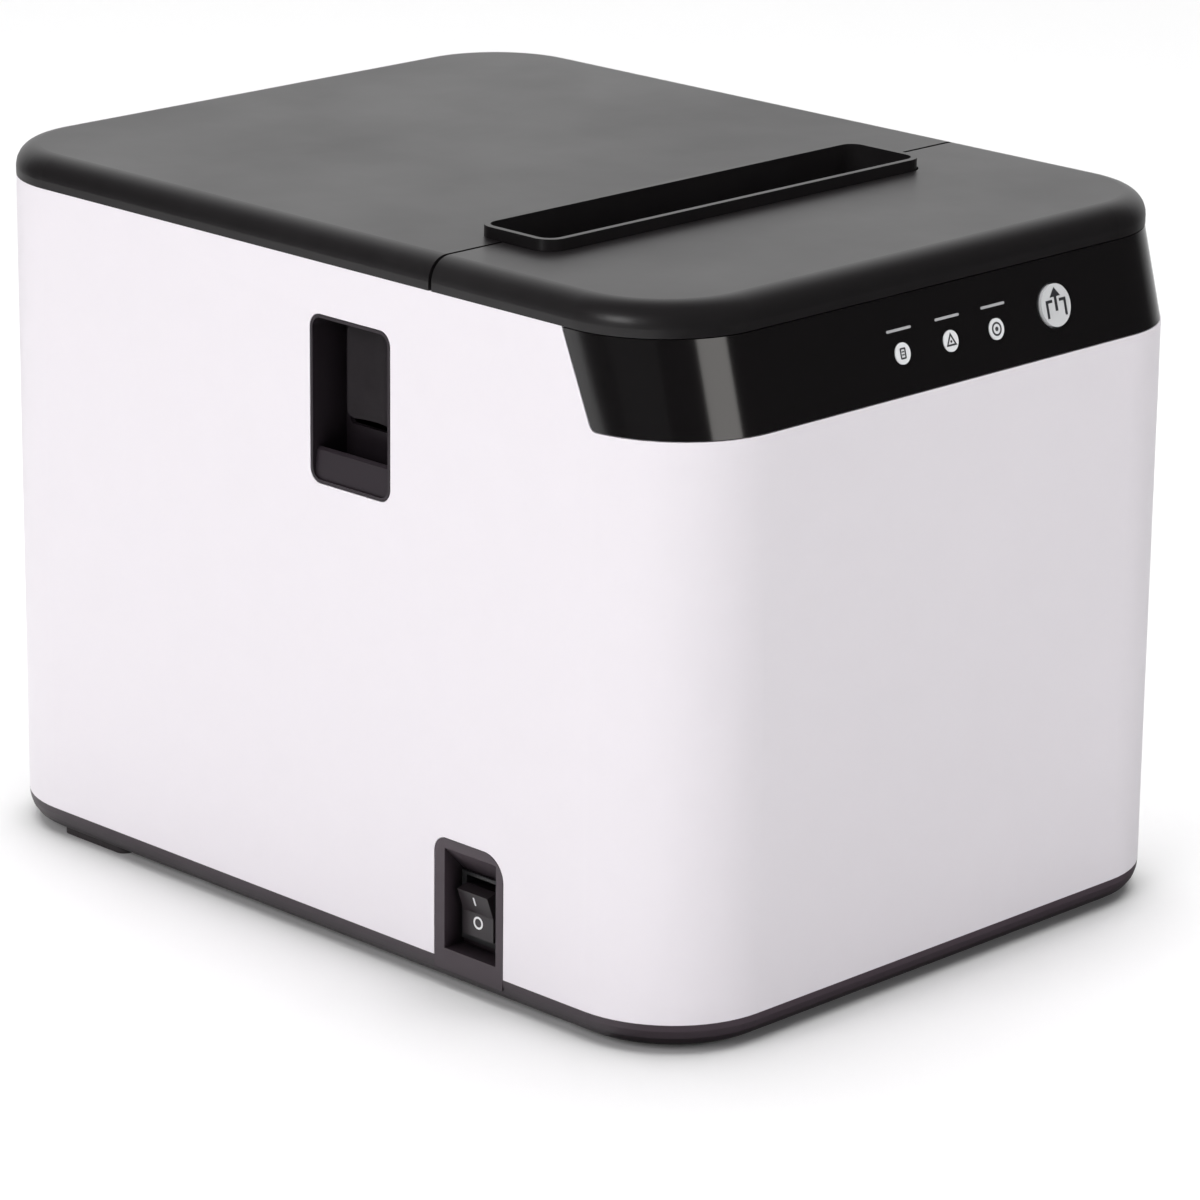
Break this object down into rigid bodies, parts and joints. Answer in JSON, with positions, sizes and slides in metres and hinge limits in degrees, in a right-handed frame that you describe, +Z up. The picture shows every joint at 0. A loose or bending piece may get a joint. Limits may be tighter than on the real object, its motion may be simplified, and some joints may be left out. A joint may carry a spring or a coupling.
{
  "type": "receipt printer",
  "caption": "Boxy clamshell receipt printer with a white shell, black lid, raised paper slot, sloped gloss panel, side release lever, power rocker and inner print and cutter mechanism.",
  "frame": {"origin": "on the resting plane under the rubber feet, under the middle of the 145 by 195 mm body", "axes": "+Z up, -Y towards the front panel, +X to the right as seen by someone facing the front, +Y towards the sockets at the rear"},
  "size_m": [0.145, 0.195, 0.1417],
  "materials": {
    "white_plastic": "fine satin texture",
    "dark_plastic": "fine texture",
    "bezel_plastic": "satin",
    "lid_plastic": "satin, fine texture",
    "gloss_panel": "polished",
    "inner_plastic": "satin",
    "lever_plastic": "satin",
    "silver_button": "silver lacquer",
    "lens": "translucent, satin",
    "foot_rubber": "matte",
    "roller_rubber": "ground",
    "zinc_screw": "zinc plated",
    "sheet_steel": "zinc plated sheet",
    "ground_steel": "ground",
    "spring_steel": "polished",
    "blade_steel": "hardened, ground",
    "motor_can": "zinc plated",
    "head_aluminium": "extruded",
    "head_ceramic": "glazed",
    "gear_plastic": "acetal, natural",
    "pinion_brass": "machined",
    "circuit_board": "solder mask",
    "chip_plastic": "moulded",
    "capacitor_sleeve": "shrink sleeve",
    "socket_black": "moulded",
    "socket_steel": "tin plated",
    "rocker_plastic": "satin"
  },
  "bodies": {
    "housing": {"outer_shell": "white_plastic", "base_tray": "dark_plastic", "port_plate": "dark_plastic", "lever_bezel": "bezel_plastic", "front_cover": "lid_plastic", "front_panel": "gloss_panel", "inner_frame": "inner_plastic", "led_lenses": "lens", "rubber_feet": "foot_rubber", "case_screws": "zinc_screw", "frame_screws": "zinc_screw", "board_screws": "zinc_screw", "motor_screws": "zinc_screw", "left_side_plate": "sheet_steel", "right_side_plate": "sheet_steel", "tie_bar": "sheet_steel", "cutter_frame": "sheet_steel", "head_pivot_pin": "ground_steel", "idler_stud": "ground_steel", "cutter_gear_post": "ground_steel", "lever_pin": "ground_steel", "hinge_pins": "ground_steel", "head_springs": "spring_steel", "lever_spring": "spring_steel", "feed_motor": "motor_can", "cutter_motor": "motor_can", "panel_board": "circuit_board", "main_board": "circuit_board", "board_chips": "chip_plastic", "feed_switch": "chip_plastic", "paper_sensor": "chip_plastic", "board_capacitors": "capacitor_sleeve", "power_jack": "socket_black", "drawer_socket": "socket_black", "switch_housing": "socket_black", "usb_socket": "socket_steel", "network_socket": "socket_steel"},
    "lid": {"lid_cover": "lid_plastic", "lid_liner": "inner_plastic", "lid_screws": "zinc_screw", "fixed_blade": "blade_steel", "platen_bushes": "gear_plastic"},
    "platen": {"platen_shaft": "ground_steel", "platen_roller": "roller_rubber", "platen_gear": "gear_plastic", "platen_clips": "ground_steel"},
    "idler": {"idler_gear": "gear_plastic"},
    "feed_rotor": {"feed_motor_shaft": "ground_steel", "feed_motor_pinion": "pinion_brass"},
    "lever": {"release_lever": "lever_plastic"},
    "button": {"feed_button": "silver_button"},
    "rocker": {"power_rocker": "rocker_plastic"},
    "head": {"head_heatsink": "head_aluminium", "print_head": "head_ceramic"},
    "blade": {"blade_carrier": "inner_plastic", "moving_blade": "blade_steel"},
    "cutter_drive": {"cutter_gear": "gear_plastic"},
    "cutter_rotor": {"cutter_motor_shaft": "ground_steel", "cutter_motor_pinion": "pinion_brass"}
  },
  "joints": [
    {"name": "lid_hinge", "type": "hinge", "parent": "housing", "child": "lid", "pos_m": [0, 0.0949, 0.136], "axis": [-1, 0, 0], "range_deg": [0, 85]},
    {"name": "platen_spin", "type": "hinge", "parent": "lid", "child": "platen", "pos_m": [0, -0.024, 0.118], "axis": [1, 0, 0], "continuous": true},
    {"name": "idler_spin", "type": "hinge", "parent": "housing", "child": "idler", "pos_m": [0.0465, -0.02112, 0.09902], "axis": [1, 0, 0], "continuous": true},
    {"name": "feed_motor_spin", "type": "hinge", "parent": "housing", "child": "feed_rotor", "pos_m": [0.04, -0.023, 0.08152], "axis": [1, 0, 0], "continuous": true},
    {"name": "release_lever_pivot", "type": "hinge", "parent": "housing", "child": "lever", "pos_m": [-0.0555, -0.015, 0.084], "axis": [-1, 0, 0], "range_deg": [0, 6], "stiffness_Nm_per_rad": 0.4},
    {"name": "feed_button_press", "type": "slide", "parent": "housing", "child": "button", "axis": [0, 0.9655, -0.2604], "range_m": [0, 0.0005], "stiffness_N_per_m": 200},
    {"name": "power_rocker_tilt", "type": "hinge", "parent": "housing", "child": "rocker", "pos_m": [-0.0656, -0.0441, 0.0162], "axis": [0, 1, 0], "range_deg": [0, 20]},
    {"name": "print_head_pivot", "type": "hinge", "parent": "housing", "child": "head", "pos_m": [0, -0.02696, 0.10117], "axis": [1, 0, 0], "range_deg": [0, 2.5], "stiffness_Nm_per_rad": 3},
    {"name": "cutter_blade_slide", "type": "slide", "parent": "housing", "child": "blade", "axis": [0, 1, 0], "range_m": [0, 0.009]},
    {"name": "cutter_gear_spin", "type": "hinge", "parent": "housing", "child": "cutter_drive", "pos_m": [0.054, -0.058, 0.126], "axis": [0, 0, 1], "range_deg": [-93, 0]},
    {"name": "cutter_motor_spin", "type": "hinge", "parent": "housing", "child": "cutter_rotor", "pos_m": [0.04464, -0.07048, 0.125], "axis": [0, 0, 1], "range_deg": [0, 308]}
  ],
  "couplings": [
    {"joint": "idler_spin", "follows": "platen_spin", "ratio": -0.6},
    {"joint": "feed_motor_spin", "follows": "platen_spin", "ratio": 1.2857},
    {"joint": "cutter_gear_spin", "follows": "cutter_blade_slide", "rad_per_m": -178.57},
    {"joint": "cutter_motor_spin", "follows": "cutter_blade_slide", "rad_per_m": 595.24}
  ]
}
